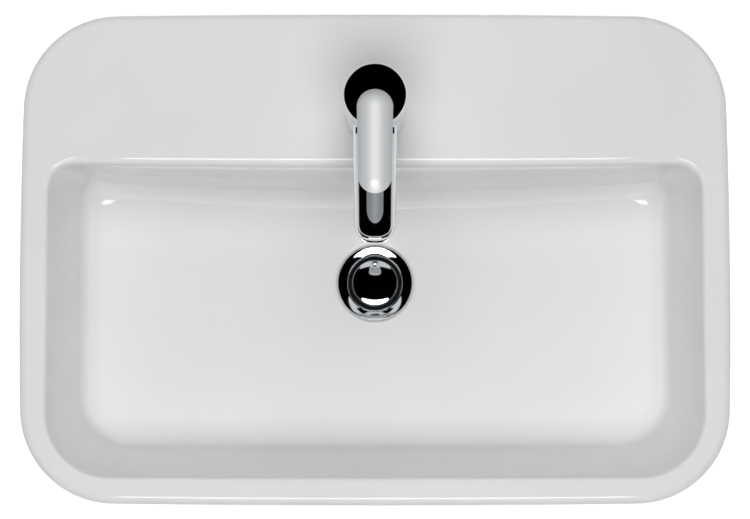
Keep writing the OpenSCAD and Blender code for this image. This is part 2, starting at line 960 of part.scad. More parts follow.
basin();
tap_body();
lever_handle();
handle_screw();
handle_plug();
dome_cover();
cartridge_nut();
cartridge_housing();
cartridge_turret();
lever_stem();
stem_pin();
disc_holder();
moving_disc();
fixed_disc();
cartridge_base();
cartridge_seals();
aerator_housing();
aerator_insert();
aerator_seal();
tap_base_seal();
fixing_stud();
deck_pad();
clamp_plate();
stud_nut();
waste_body();
flange_seal();
lower_seal();
slip_washer();
back_nut();
plug_cap();
plug_seal();
click_housing();
click_plunger();
click_spring();
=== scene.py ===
import math

import bmesh
import bpy
from mathutils import Matrix, Vector


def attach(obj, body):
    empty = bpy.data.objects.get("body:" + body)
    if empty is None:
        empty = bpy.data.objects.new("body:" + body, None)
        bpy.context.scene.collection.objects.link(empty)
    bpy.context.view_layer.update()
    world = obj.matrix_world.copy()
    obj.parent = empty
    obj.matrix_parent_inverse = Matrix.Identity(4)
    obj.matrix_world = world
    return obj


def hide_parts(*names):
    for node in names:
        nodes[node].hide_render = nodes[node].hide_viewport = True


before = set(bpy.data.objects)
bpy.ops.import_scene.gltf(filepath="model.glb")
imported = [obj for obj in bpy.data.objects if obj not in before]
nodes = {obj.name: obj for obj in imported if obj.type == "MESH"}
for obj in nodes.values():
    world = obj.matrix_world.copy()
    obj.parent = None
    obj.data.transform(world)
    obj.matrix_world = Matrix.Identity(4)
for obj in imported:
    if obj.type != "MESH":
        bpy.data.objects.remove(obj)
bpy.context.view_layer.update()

scene = bpy.context.scene
scene.view_settings.view_transform = "Standard"

# All sizes are in millimetres, in the frame of the CAD, until a piece is finished.
MM = 0.001

# Points of a mesh that lie nearer to each other than this are joined.
WELD = 0.0005

# Small chamfers of the seat and the tail, and how far a cutter reaches past what it cuts
EASED = 0.6
PAST = 2

# Camera: 1.5 m above the rim, leaning a little to the back, as in the photograph
RIM_Z = 160
CAMERA_DISTANCE = 1500
CAMERA_TILT = 3.59
CAMERA_LENS = 85.55
CAMERA_SENSOR = 36
CAMERA_AIM_Y = -1.7

camera = bpy.data.objects.new("camera", bpy.data.cameras.new("camera"))
camera.data.lens = CAMERA_LENS
camera.data.sensor_width = CAMERA_SENSOR
tilt = math.radians(CAMERA_TILT)
camera.location = Vector((0, CAMERA_AIM_Y - CAMERA_DISTANCE * math.sin(tilt),
                          RIM_Z + CAMERA_DISTANCE * math.cos(tilt))) * MM
camera.rotation_euler = (tilt, 0, 0)
scene.collection.objects.link(camera)
scene.camera = camera


# Materials

def linear(hex_colour):
    """Linear colour of an sRGB hex value."""
    channels = [int(hex_colour[i:i + 2], 16) / 255 for i in (1, 3, 5)]
    return [c / 12.92 if c <= 0.04045 else ((c + 0.055) / 1.055) ** 2.4 for c in channels] + [1]


def add(material, kind, settings=None, **links):
    """Adds a node to a material, sets its properties or inputs, and links its inputs. An input
    goes by its name, or by its number: 2 in the settings, i2 in the links."""
    tree = material.node_tree
    node = tree.nodes.new(kind)
    for name, value in (settings or {}).items():
        if isinstance(name, str) and hasattr(node, name):
            setattr(node, name, value)
        else:
            node.inputs[name].default_value = value
    for name, source in links.items():
        key = int(name[1:]) if name[1:].isdigit() else name.replace("_", " ")
        tree.links.new(source, node.inputs[key])
    return node


def new_material(name):
    """An empty node material, and the place on the object that its textures follow."""
    material = bpy.data.materials.new(name)
    material.use_nodes = True
    material.node_tree.nodes.clear()
    return material, add(material, "ShaderNodeTexCoord").outputs["Object"]


def finish_material(material, surface):
    out = add(material, "ShaderNodeOutputMaterial")
    material.node_tree.links.new(surface, out.inputs["Surface"])
    return material


def noise(material, place, scale, detail, roughness=0.5):
    """Cloudy noise, with its scale in clouds per metre."""
    return add(material, "ShaderNodeTexNoise",
               {"Scale": scale, "Detail": detail, "Roughness": roughness},
               Vector=place).outputs["Fac"]


def bands(material, place, pitch, settings):
    """Level bands, a pitch apart in metres."""
    return add(material, "ShaderNodeTexWave",
               {"wave_type": "BANDS", "bands_direction": "Z", "Scale": math.pi / 10 / pitch,
                **settings}, Vector=place).outputs["Fac"]


def spread(material, source, low, high, start=0, end=1):
    """From low to high while the source goes from start to end."""
    return add(material, "ShaderNodeMapRange",
               {"From Min": start, "From Max": end, "To Min": low, "To Max": high},
               Value=source).outputs["Result"]


def colours(material, source, *stops):
    """Colour of a source, through stops of its value and a hex colour."""
    node = add(material, "ShaderNodeValToRGB", Fac=source)
    elements = node.color_ramp.elements
    for value, _ in stops[1:-1]:
        elements.new(value)
    for element, (value, hex_colour) in zip(elements, stops):
        element.position = value
        element.color = linear(hex_colour)
    return node.outputs["Color"]


def relief(material, height, strength, depth, **links):
    """Direction of a surface with a relief, its depth in metres."""
    return add(material, "ShaderNodeBump", {"Strength": strength, "Distance": depth},
               Height=height, **links).outputs["Normal"]


def principled(material, settings, **links):
    return add(material, "ShaderNodeBsdfPrincipled", settings, **links).outputs["BSDF"]


def glazed_ceramic():
    """White sanitary glaze: a deep clear gloss over a neutral white body. The glaze lies in faint
    waves of about 40 mm, and the foot that stood in the kiln is bare, matt and a little warmer."""
    m, place = new_material("glazed_ceramic")
    drift = noise(m, place, 6, 2)
    waves = noise(m, place, 25, 1.5, 0.4)
    glaze = principled(m, {"Roughness": 0.06, "IOR": 1.5, "Coat Weight": 0.25,
                           "Coat Roughness": 0.02, "Coat IOR": 1.5},
                       Base_Color=colours(m, drift, (0.35, "#E9E9E9"), (0.65, "#ECECEC")),
                       Normal=relief(m, waves, 0.05, 0.0006))
    grit = noise(m, place, 900, 3)
    bare = principled(m, {"Base Color": linear("#DDD6C8"), "Roughness": 0.75, "IOR": 1.5},
                      Normal=relief(m, grit, 0.35, 0.0003))
    part = add(m, "ShaderNodeSeparateXYZ", Vector=place)
    above_foot = spread(m, part.outputs["Z"], 0, 1, 0.0008, 0.0014)
    mix = add(m, "ShaderNodeMixShader", Fac=above_foot, i1=bare, i2=glaze)
    return finish_material(m, mix.outputs["Shader"])


def polished_chrome(name, thread_pitch=0):
    """Bright chromium plate on polished brass: a slightly cool mirror, with faint wipe marks that
    only soften the brightest reflections. A threaded piece has its turns as relief."""
    m, place = new_material(name)
    smear = noise(m, place, 60, 4, 0.6)
    orange_peel = noise(m, place, 220, 1)
    normal = relief(m, orange_peel, 0.03, 0.0002)
    if thread_pitch:
        turns = bands(m, place, thread_pitch * MM, {"wave_profile": "TRI"})
        normal = relief(m, turns, 1, 0.001, Normal=normal)
    shader = principled(m, {"Base Color": linear("#D9DCDF"), "Metallic": 1},
                        Roughness=spread(m, smear, 0.025, 0.06, 0.3, 0.75), Normal=normal)
    return finish_material(m, shader)


def satin_chrome(back_y, half_w):
    """Pearl chrome on the lever's blade, a blasted and lightly lacquered plate: pale grey with a
    soft sheen. Its colour holds painted shade: as in the photograph it is painted darker from the
    middle line of the blade, which starts at back_y, to the edges and round the back end, where
    the crowned blade turns away from the light. The grain is drawn at 0.45 mm, a little coarser
    than it is."""
    m, place = new_material("satin_chrome")
    grain = noise(m, place, 2200, 2)
    wear = noise(m, place, 70, 3)
    # Painted shade: the distance from the blade's middle line and round its back end darkens the
    # colour
    part = add(m, "ShaderNodeSeparateXYZ", Vector=place)
    behind = add(m, "ShaderNodeMath", {"operation": "SUBTRACT", 1: back_y * MM},
                 i0=part.outputs["Y"])
    behind = add(m, "ShaderNodeMath", {"operation": "MAXIMUM", 1: 0}, i0=behind.outputs[0])
    aside = add(m, "ShaderNodeCombineXYZ", X=part.outputs["X"], Y=behind.outputs[0])
    reach = add(m, "ShaderNodeVectorMath", {"operation": "LENGTH"}, i0=aside.outputs["Vector"])
    share = spread(m, reach.outputs["Value"], 0, 1, 0, half_w * MM)
    # The colour stops are painted shade: pale on the middle line, darker towards the edges
    shader = principled(m, {"Metallic": 0.3},
                        Base_Color=colours(m, share, (0.1, "#F1F2F3"), (0.5, "#CFD1D3"),
                                           (1, "#B2B4B6")),
                        Roughness=spread(m, wear, 0.42, 0.5),
                        Normal=relief(m, grain, 0.08, 0.0001))
    return finish_material(m, shader)


def turned_brass():
    """Bare turned brass: warm yellow metal with tool marks 0.6 mm apart and dull patches."""
    m, place = new_material("turned_brass")
    marks = bands(m, place, 0.0006, {"Distortion": 0.6, "Detail": 1})
    tarnish = noise(m, place, 90, 5)
    shader = principled(m, {"Metallic": 1},
                        Base_Color=colours(m, tarnish, (0.35, "#C79A4E"), (0.7, "#DDB868")),
                        Roughness=spread(m, tarnish, 0.42, 0.2),
                        Normal=relief(m, marks, 0.15, 0.0001))
    return finish_material(m, shader)


def zinc_plated_steel():
    """Zinc-plated pressed steel: grey, half-matt metal with a cloudy crystal bloom of 3 mm."""
    m, place = new_material("zinc_plated_steel")
    bloom = add(m, "ShaderNodeTexVoronoi", {"Scale": 330}, Vector=place)
    shader = principled(m, {"Metallic": 1},
                        Base_Color=colours(m, bloom.outputs["Color"], (0, "#A3A7AA"),
                                           (1, "#C3C6C8")),
                        Roughness=spread(m, bloom.outputs["Distance"], 0.3, 0.45))
    return finish_material(m, shader)


def moulded_plastic(name, dark, light):
    """Moulded acetal: an even, waxy colour with a fine moulded texture of 0.8 mm."""
    m, place = new_material(name)
    cloud = noise(m, place, 50, 2)
    texture = noise(m, place, 1200, 2)
    shader = principled(m, {"Roughness": 0.38, "IOR": 1.48},
                        Base_Color=colours(m, cloud, (0, dark), (1, light)),
                        Normal=relief(m, texture, 0.1, 0.0001))
    return finish_material(m, shader)


def black_rubber():
    """Moulded rubber: near-black and matt, with a fine talc bloom that greys it in patches."""
    m, place = new_material("black_rubber")
    bloom = noise(m, place, 160, 5, 0.65)
    shader = principled(m, {"Roughness": 0.65, "IOR": 1.52},
                        Base_Color=colours(m, bloom, (0.4, "#17181A"), (0.8, "#35373A")),
                        Normal=relief(m, bloom, 0.2, 0.0001))
    return finish_material(m, shader)


def lapped_alumina():
    """Lapped alumina discs: dense cream-white ceramic, flat and half-gloss, with fine specks."""
    m, place = new_material("lapped_alumina")
    specks = noise(m, place, 1500, 3)
    shader = principled(m, {"IOR": 1.76},
                        Base_Color=colours(m, specks, (0.3, "#DAD5C9"), (0.6, "#F0ECE2")),
                        Roughness=spread(m, specks, 0.16, 0.26))
    return finish_material(m, shader)


CERAMIC = glazed_ceramic()
CHROME = polished_chrome("polished_chrome")
CHROME_THREADED = polished_chrome("polished_chrome_threaded", thread_pitch=2.3)
BRASS = turned_brass()
STEEL = zinc_plated_steel()
WHITE_PLASTIC = moulded_plastic("white_acetal", "#E4E3DE", "#EFEEEA")
BLUE_PLASTIC = moulded_plastic("blue_grey_acetal", "#8FA3BA", "#A5B6C9")
RUBBER = black_rubber()
ALUMINA = lapped_alumina()


# Building pieces from rings

# Faces that meet at more than this angle, in degrees, have a sharp edge between them.
SHARP = 35


def ring_start(bm, count):
    """The vertices of a new circle, each with its place in the row."""
    order = bm.verts.layers.int.get("order") or bm.verts.layers.int.new("order")
    verts = bmesh.ops.create_circle(bm, cap_ends=False, segments=count, radius=1)["verts"]
    verts.sort(key=lambda v: math.atan2(v.co.y, v.co.x) % (2 * math.pi))
    for i, v in enumerate(verts):
        v[order] = i
    edges = list({e for v in verts for e in v.link_edges})
    return verts, edges


def loft(bm, rings, closed=False, caps=(False, False)):
    """A surface through rings of equally many points: a circle is moved onto the first ring, and
    its edges are extruded from ring to ring."""
    verts, edges = ring_start(bm, len(rings[0]))
    order = bm.verts.layers.int.get("order")
    for v in verts:
        v.co = rings[0][v[order]]
    if caps[0]:
        bmesh.ops.contextual_create(bm, geom=edges)
    for ring in rings[1:] + ([rings[0]] if closed else []):
        grown = bmesh.ops.extrude_edge_only(bm, edges=edges)["geom"]
        edges = [g for g in grown if isinstance(g, bmesh.types.BMEdge)]
        for v in grown:
            if isinstance(v, bmesh.types.BMVert):
                v.co = ring[v[order]]
    if caps[1]:
        bmesh.ops.contextual_create(bm, geom=edges)
    bmesh.ops.remove_doubles(bm, verts=bm.verts, dist=WELD)


def lathe(bm, profile, steps=128, centre=(0, 0)):
    """A closed profile of (radius, height) spun about an upright axis."""
    verts = [bm.verts.new((centre[0] + r, centre[1], z)) for r, z in profile]
    edges = [bm.edges.new(pair) for pair in zip(verts, verts[1:])]
    if max(profile[0][0], profile[-1][0]) > WELD:
        edges.append(bm.edges.new((verts[-1], verts[0])))
    bmesh.ops.spin(bm, geom=verts + edges, cent=(*centre, 0), axis=(0, 0, 1),
                   angle=2 * math.pi, steps=steps, use_merge=True, use_duplicate=False)
    bmesh.ops.remove_doubles(bm, verts=bm.verts, dist=WELD)


def arc(centre, radius, start, end, steps):
    """Points of an arc of (radius, height) pairs. radius is one number, or one for each way."""
    across, up = radius if isinstance(radius, tuple) else (radius, radius)
    angles = [math.radians(start + (end - start) * i / steps) for i in range(steps + 1)]
    return [(centre[0] + across * math.cos(a), centre[1] + up * math.sin(a)) for a in angles]


def raised(profile, z):
    """A profile of (radius, height), lifted by z."""
    return [(r, height + z) for r, height in profile]


def between(ring, other, shares):
    """Rings at shares of the way from one ring to another."""
    return [[p.lerp(q, t) for p, q in zip(ring, other)] for t in shares]


def to_object(bm, name, materials, sharp=SHARP):
    """Finishes a bmesh in millimetres as an object in metres, smooth except at sharp edges."""
    bmesh.ops.recalc_face_normals(bm, faces=bm.faces)
    bmesh.ops.scale(bm, vec=(MM, MM, MM), verts=bm.verts)
    mesh = bpy.data.meshes.new(name)
    bm.to_mesh(mesh)
    bm.free()
    for polygon in mesh.polygons:
        polygon.use_smooth = True
    mesh.set_sharp_from_angle(angle=math.radians(sharp))
    for material in materials:
        mesh.materials.append(material)
    piece = bpy.data.objects.new(name, mesh)
    scene.collection.objects.link(piece)
    return piece


def cut(piece, cutters, operation="DIFFERENCE"):
    """Cuts the piece with closed cutters, each a bmesh in millimetres, or adds them to it."""
    for i, bm in enumerate(cutters):
        tool = to_object(bm, f"cutter_{piece.name}_{i}", [])
        modifier = piece.modifiers.new("cut", "BOOLEAN")
        modifier.operation = operation
        modifier.solver = "EXACT"
        modifier.object = tool
        graph = bpy.context.evaluated_depsgraph_get()
        made = bpy.data.meshes.new_from_object(piece.evaluated_get(graph))
        piece.modifiers.clear()
        old = piece.data
        made.name = piece.name
        piece.data = made
        bpy.data.meshes.remove(old)
        bpy.data.objects.remove(tool)
    piece.data.set_sharp_from_angle(angle=math.radians(SHARP))


def drum(x, y, radius, z0, z1, steps=96):
    """An upright cylinder, used as a cutter."""
    bm = bmesh.new()
    bmesh.ops.create_cone(bm, cap_ends=True, segments=steps, radius1=radius, radius2=radius,
                          depth=z1 - z0, matrix=Matrix.Translation((x, y, (z0 + z1) / 2)))
    return bm


def smooth(t):
    """From 0 to 1 with t, with a soft start and end."""
    t = min(1, max(0, t))
    return t * t * (3 - 2 * t)


# The basin

HALF_W = 300
HALF_D = 208
CORNER_R = 80
EDGE_BOW = 1.5
RIM_ROUND = 7
FOOT_INSET = 9
FOOT_RING_W = 12
WALL_T = 8
DECK_T = 14
DECK_Z = RIM_Z - DECK_T
DECK_ROOT_R = 6
SEAT_T = 12
OPEN_X = 276.5
OPEN_FRONT = -183.5
OPEN_BACK = 78.3
BOWL_BACK_R = 21
BOWL_FRONT_R = 54
LIP_R = 4.5
BACK_LIP_R = 8
LIP_FLAT = 0.8
FLOOR_Z = 58
FLOOR_FALL = 7
FLOOR_REACH = 264.5
FOOT_Z = FLOOR_Z + FLOOR_FALL
SEAT_Z = 55
WASTE_Y = -16.5
RECESS_R = 33.9
RECESS_EDGE_R = 38.5
WASTE_HOLE_R = 22.95
TAP_Y = 120
DECK_HOLE_R = 17.5
BACK_LIP_BOW = 1.2
BACK_FOOT_BOW = 8
CORNER_STEPS = 20
EDGE_STEPS = 36

# Share of the foot's inset that the outer walls have under the deck
DECK_LEAN = 0.13

# Tilt in degrees at which the lip goes over into its softer roll, and the last degree of each
# fillet, which is a narrow face of its own
LIP_TILT = 45
CREASE = 1

# The bowl's walls: how far each reaches in, the radii of the roll below its lip and of its
# fillet, its tilt in degrees at the fillet's end, and the radius of its last curve
SIDE_WALL = (46, 6, 20, 8, 100)
FRONT_WALL = (31.8, 6, 10, 6, 22)
BACK_WALL = (20.3, 8, 30, 25, 3, BACK_LIP_R)

# Undersides of the same walls: how far each runs in, and the fillet above it
SIDE_UNDER = (12, 20)
FRONT_UNDER = (18, 20)
BACK_UNDER = (15, 7)


def plan_ring(x, front, back, front_r, back_r, side_bow, front_bow, back_bow, z):
    """Counter-clockwise ring of a rectangle with round corners and bowed edges. z is one height,
    or the heights at the side, the front and the back, which blend in the corners."""
    z_side, z_front, z_back = z if isinstance(z, tuple) else (z, z, z)
    corners = [(x - front_r, front + front_r, front_r, -90, z_front),
               (x - back_r, back - back_r, back_r, 0, z_back),
               (-x + back_r, back - back_r, back_r, 90, z_back),
               (-x + front_r, front + front_r, front_r, 180, z_front)]
    arcs = []
    for cx, cy, r, start, z_end in corners:
        points = []
        for i in range(CORNER_STEPS + 1):
            a = math.radians(start + 90 * i / CORNER_STEPS)
            share = math.sin(a) ** 2
            points.append(Vector((cx + r * math.cos(a), cy + r * math.sin(a),
                                  z_side + (z_end - z_side) * share)))
        arcs.append(points)
    bows = [side_bow, back_bow, side_bow, front_bow]
    ring = []
    for k in range(4):
        ring += arcs[k]
        p, q = arcs[k][-1], arcs[(k + 1) % 4][0]
        d = q - p
        out = Vector((d.y, -d.x, 0)).normalized()
        for i in range(1, EDGE_STEPS):
            t = i / EDGE_STEPS
            ring.append(p + d * t + out * 4 * bows[k] * t * (1 - t))
    return ring


def outer_ring(inset, z):
    """Ring of the outer walls, a distance in from the rim."""
    r = max(CORNER_R - inset, 1)
    return plan_ring(HALF_W - EDGE_BOW - inset, -HALF_D + EDGE_BOW + inset,
                     HALF_D - EDGE_BOW - inset, r, r, EDGE_BOW, EDGE_BOW, EDGE_BOW, z)


def bowl_ring(side, front, back, grow=0):
    """Ring of the bowl from the (inset, height) of its side, front and back walls. It is lowered
    towards the waste: in full at the foot of the walls, and not at the rim."""
    depth = (RIM_Z - back[1]) / (RIM_Z - FOOT_Z)
    bow = BACK_LIP_BOW + (BACK_FOOT_BOW - BACK_LIP_BOW) * min(1, max(0, depth))
    ring = plan_ring(OPEN_X - side[0], OPEN_FRONT + front[0], OPEN_BACK - back[0],
                     BOWL_FRONT_R - front[0] / 3 + grow, BOWL_BACK_R + grow, 0, EDGE_BOW / 2,
                     -bow, (side[1], front[1], back[1]))
    for p in ring:
        far = min(1, math.hypot(p.x, p.y - WASTE_Y) / FLOOR_REACH)
        p.z -= FLOOR_FALL * (1 - far) * (RIM_Z - p.z) / (RIM_Z - FOOT_Z)
    return ring


def wall_profile(reach, roll_r, fillet_r, end_tilt, end_r, lip_r=LIP_R):
    """(inset, height) pairs down one wall of the bowl: the lip, a softer roll below it, the
    straight wall, the fillet and the last curve into the floor. Each is tangent to the next, and
    the wall leans just as far as the whole reach needs."""
    lip_tilt = math.radians(LIP_TILT)
    end_tilt = math.radians(end_tilt)
    crease = math.radians(CREASE)

    def parts(wall_tilt):
        """Radius, first and last tilt, and steps of each part. The straight wall has radius 0."""
        return [(lip_r, 0, lip_tilt, 6), (roll_r, lip_tilt, wall_tilt, 6),
                (0, wall_tilt, wall_tilt, 8), (-fillet_r, wall_tilt, end_tilt + crease, 14),
                (-fillet_r, end_tilt + crease, end_tilt, 1),
                (-end_r, end_tilt, end_tilt * 0.9, 2), (-end_r, end_tilt * 0.9, 0, 6)]

    def walk(wall_tilt):
        drop = sum(r * (math.cos(a) - math.cos(b)) for r, a, b, _ in parts(wall_tilt))
        length = (RIM_Z - FOOT_Z - drop) / math.sin(wall_tilt)
        x, z = -lip_r, RIM_Z
        points = [(x, z)]
        for r, a, b, steps in parts(wall_tilt):
            for i in range(1, steps + 1):
                t0 = a + (b - a) * (i - 1) / steps
                t1 = a + (b - a) * i / steps
                if r:
                    x += r * (math.sin(t1) - math.sin(t0))
                    z -= r * (math.cos(t0) - math.cos(t1))
                else:
                    x += length / steps * math.cos(wall_tilt)
                    z -= length / steps * math.sin(wall_tilt)
                points.append((x, z))
        return points

    # The lean is found by halving: the steeper the wall, the less it reaches in.
    low, high = math.radians(50), math.radians(89)
    for _ in range(40):
        middle = (low + high) / 2
        if walk(middle)[-1][0] > reach:
            low = middle
        else:
            high = middle
    return walk((low + high) / 2)


def underside_profile(run, fillet):
    """(inset, height) pairs up the outside of the same wall, from the floor to the deck."""
    r = fillet + WALL_T
    lean = math.atan2(run, RIM_Z - FOOT_Z)
    points = []
    for i in range(9):
        a = math.pi / 2 - (math.pi / 2 - lean) * i / 8
        points.append((run + fillet - r * math.cos(a), FOOT_Z + fillet - r * math.sin(a)))
    x, z = points[-1]
    root_z = DECK_Z - DECK_ROOT_R
    root_x = x - (root_z - z) * math.tan(lean)
    points.append((root_x, root_z))
    for i in range(1, 5):
        a = math.pi / 2 * i / 4
        points.append((root_x - DECK_ROOT_R * (1 - math.cos(a)),
                       root_z + DECK_ROOT_R * math.sin(a)))
    return points


def waste_ring(like, radius, z):
    """Circle about the waste axis, whose points face those of a ring like it but are spread
    more evenly."""
    count = len(like)
    middle = count - EDGE_STEPS // 2
    evenness = 0.6
    ring = []
    for i, p in enumerate(like):
        faced = math.atan2(p.y - WASTE_Y, p.x)
        even = 2 * math.pi * ((i - middle) % count) / count - math.pi / 2
        turn = (even - faced + math.pi) % (2 * math.pi) - math.pi
        a = faced + evenness * turn
        ring.append(Vector((radius * math.cos(a), WASTE_Y + radius * math.sin(a), z)))
    return ring


def outside_rings():
    """From the foot's small round up the outer wall and over the rim. The first and the last
    ring of the straight wall lie close to its ends, so that it shades flat."""
    foot_round = ((2, 0), (0.6, 0.3), (0.1, 1))
    rings = [outer_ring(FOOT_INSET + inset, z) for inset, z in foot_round]
    wall_low = foot_round[-1][1]
    wall_top = RIM_Z - RIM_ROUND
    for t in (0.02, 0.25, 0.5, 0.75, 0.96):
        rings.append(outer_ring(FOOT_INSET * (1 - t), wall_low + (wall_top - wall_low) * t))
    for i in range(15):
        a = math.pi / 2 * i / 14
        rings.append(outer_ring(RIM_ROUND * (1 - math.cos(a)),
                                wall_top + RIM_ROUND * math.sin(a)))
    return rings + [outer_ring(RIM_ROUND + flat, RIM_Z) for flat in (0.8, 2)]


def bowl_rings():
    """Over the lip and down the walls to their foot."""
    flat = (-LIP_R - LIP_FLAT, RIM_Z)
    back_flat = (-BACK_LIP_R - LIP_FLAT, RIM_Z)
    rings = [bowl_ring(flat, flat, back_flat, BACK_LIP_R + LIP_FLAT)]
    walls = [wall_profile(*wall) for wall in (SIDE_WALL, FRONT_WALL, BACK_WALL)]
    return rings + [bowl_ring(s, f, b, max(0, -b[0])) for s, f, b in zip(*walls)]


def floor_rings(foot):
    """Over the floor and down through the recess and the hole of the waste."""
    recess = waste_ring(foot, RECESS_EDGE_R, FLOOR_Z)
    edge = arc((RECESS_EDGE_R, SEAT_Z), (RECESS_EDGE_R - RECESS_R, FLOOR_Z - SEAT_Z), 96, 180, 12)
    hole = [(RECESS_R - EASED, SEAT_Z), (WASTE_HOLE_R + EASED, SEAT_Z),
            (WASTE_HOLE_R, SEAT_Z - EASED), (WASTE_HOLE_R, SEAT_Z - SEAT_T),
            (RECESS_R + 3, SEAT_Z - SEAT_T)]
    rings = between(foot, recess, (0.03, 0.12, 0.25, 0.4, 0.55, 0.7, 0.82, 0.92, 0.98))
    return rings + [recess] + [waste_ring(foot, r, z) for r, z in edge + hole]


def under_rings(seat):
    """From the seat under the floor, up behind the walls, under the rim and down to the foot."""
    walls = [underside_profile(*wall) for wall in (SIDE_UNDER, FRONT_UNDER, BACK_UNDER)]
    rings = between(seat, bowl_ring(*[wall[0] for wall in walls]), (0.2, 0.6, 0.9))
    rings += [bowl_ring(s, f, b, WALL_T) for s, f, b in zip(*walls)]
    root_inset = WALL_T + FOOT_INSET * DECK_LEAN
    for i in range(5):
        a = math.pi / 2 * (1 - i / 4)
        rings.append(outer_ring(root_inset + DECK_ROOT_R * (1 - math.cos(a)),
                                DECK_Z - DECK_ROOT_R * (1 - math.sin(a))))
    middle_z = 70
    middle_inset = WALL_T + 1 + FOOT_INSET * (RIM_Z - middle_z) / RIM_Z
    inner = FOOT_INSET + FOOT_RING_W
    lower = ((middle_inset, middle_z), (inner - 2, 12), (inner - 0.4, 1), (inner - 1.2, 0))
    return rings + [outer_ring(inset, z) for inset, z in lower]


def build_basin():
    """One closed shell: up the outer wall, over the rim, down the bowl to the waste, and back
    along the underside to the foot."""
    bowl = bowl_rings()
    middle = floor_rings(bowl[-1])
    bm = bmesh.new()
    loft(bm, outside_rings() + bowl + middle + under_rings(middle[-1]), closed=True)
    piece = to_object(bm, "basin_casting", [CERAMIC], sharp=50)
    cut(piece, [drum(0, TAP_Y, DECK_HOLE_R, DECK_Z - PAST, RIM_Z + PAST)])
    return piece


basin_casting = build_basin()
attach(basin_casting, "fixed")
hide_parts("basin")


# The tap. Heights here are above the deck, and places are from the tap axis.

BODY_R = 25
BODY_H = 86
BODY_EDGE_R = 0.8
GASKET_T = 1.2
SPOUT_REACH = 112.5
SPOUT_HALF_W = 18
SPOUT_TIP_HALF_W = 16.5
SPOUT_TIP_LEN = 16
SPOUT_TIP_POWER = 0.8
SPOUT_SIDE_WAY = Vector((1, -0.017)).normalized()
SPOUT_TOP = 74.5
SPOUT_RISE = 11
SPOUT_CROWN = 1.5
SPOUT_BOTTOM = 66
SPOUT_ROOT = 42
SPOUT_LOW_R = 2
SPOUT_EDGE_R = 3
SWELL_START = SPOUT_ROOT - 8
SWELL_H = 12
RAMP_END = 82.5
TAPER_START = 12.5
PORT_X = 7.5
PORT_Y = 1
PORT_R = 4.45
PORT_TOP = GASKET_T + 14
STUD_Y = 12.5
STUD_HOLE_R = 4.1
STUD_HOLE_TOP = 16
CHAMBER_R = 17.5
CHAMBER_LOW = 56
CHAMBER_TOP = 76
MOUTH_R = 20.4
AERATOR_Y = -97
AERATOR_HOLE_R = 12.1
AERATOR_HOLE_TOP = 75.5
BODY_STEPS = 40
SPOUT_STEPS = 24

# The hollow fillet where the spout leaves the body: its radius, its place in front of the axis,
# and the share of the spout's inset that it starts with
JUNCTION_R = 3
JUNCTION_AT = 18.5
JUNCTION_SHARE = 0.3
JUNCTION_STEPS = 8


def side_x(y):
    """Half width of the spout at a distance in front of the axis."""
    run = (-y - TAPER_START) / (SPOUT_REACH - SPOUT_TIP_LEN - TAPER_START)
    return SPOUT_HALF_W + (SPOUT_TIP_HALF_W - SPOUT_HALF_W) * run


def tap_half(reach, tip_len):
    """Right half of the plan, from the back of the body to the middle of the tip: body, hollow
    fillet, side and tip. Each point has its outward direction and its share of the spout, from 0
    on the body to 1."""
    centre = Vector((side_x(-JUNCTION_AT) + JUNCTION_R, 0))
    centre.y = -math.sqrt((BODY_R + JUNCTION_R) ** 2 - centre.x ** 2)
    start = math.atan2(centre.y, centre.x)
    points = []
    for i in range(BODY_STEPS + 1):
        a = math.pi / 2 + (start - math.pi / 2) * i / BODY_STEPS
        way = Vector((math.cos(a), math.sin(a)))
        points.append((way * BODY_R, way, smooth((i - BODY_STEPS + 3) / 4) * JUNCTION_SHARE))
    first = math.atan2(-centre.y, -centre.x)
    for i in range(1, JUNCTION_STEPS + 1):
        a = first + (math.pi - first) * i / JUNCTION_STEPS
        way = Vector((math.cos(a), math.sin(a)))
        share = JUNCTION_SHARE + (1 - JUNCTION_SHARE) * i / JUNCTION_STEPS
        points.append((centre + way * JUNCTION_R, -way, share))
    side_end = -reach + tip_len
    for i in range(1, SPOUT_STEPS + 1):
        y = centre.y + (side_end - centre.y) * i / SPOUT_STEPS
        points.append((Vector((side_x(y), y)), SPOUT_SIDE_WAY, 1))
    half = side_x(side_end)
    for i in range(1, SPOUT_STEPS + 1):
        a = math.pi / 2 * i / SPOUT_STEPS
        c, s = max(math.cos(a), 0), math.sin(a)
        place = Vector((half * c ** SPOUT_TIP_POWER, side_end - tip_len * s ** SPOUT_TIP_POWER))
        way = Vector((c ** (2 - SPOUT_TIP_POWER) / half, -s ** (2 - SPOUT_TIP_POWER) / tip_len))
        points.append((place, way.normalized(), 1))
    return points


def tap_ring(z, reach=SPOUT_REACH, tip_len=SPOUT_TIP_LEN, inset=0, body_inset=0, spout=1):
    """Ring of the casting at a height. spout goes from 0, where the spout's points lie on the
    round body, to 1."""
    half = tap_half(reach, tip_len)
    last = len(half) - 1
    body_end = math.atan2(half[BODY_STEPS][0].y, half[BODY_STEPS][0].x)
    placed = []
    for i, (place, way, weight) in enumerate(half):
        point = place - way * (inset * weight + body_inset * (1 - weight))
        if spout < 1 and i > BODY_STEPS:
            a = body_end + (-math.pi / 2 - body_end) * (i - BODY_STEPS) / (last - BODY_STEPS)
            on_body = Vector((math.cos(a), math.sin(a))) * BODY_R
            point = on_body.lerp(point, spout)
        placed.append(point)
    ring = [Vector((p.x, p.y + TAP_Y, z + RIM_Z)) for p in placed]
    left = [Vector((-p.x, p.y + TAP_Y, z + RIM_Z)) for p in reversed(placed[1:-1])]
    return ring + left


def spout_top(y):
    """Height of the middle of the spout's top, which rises from the body to the tip."""
    return SPOUT_TOP + max(0, -y - BODY_R) * math.tan(math.radians(SPOUT_RISE))


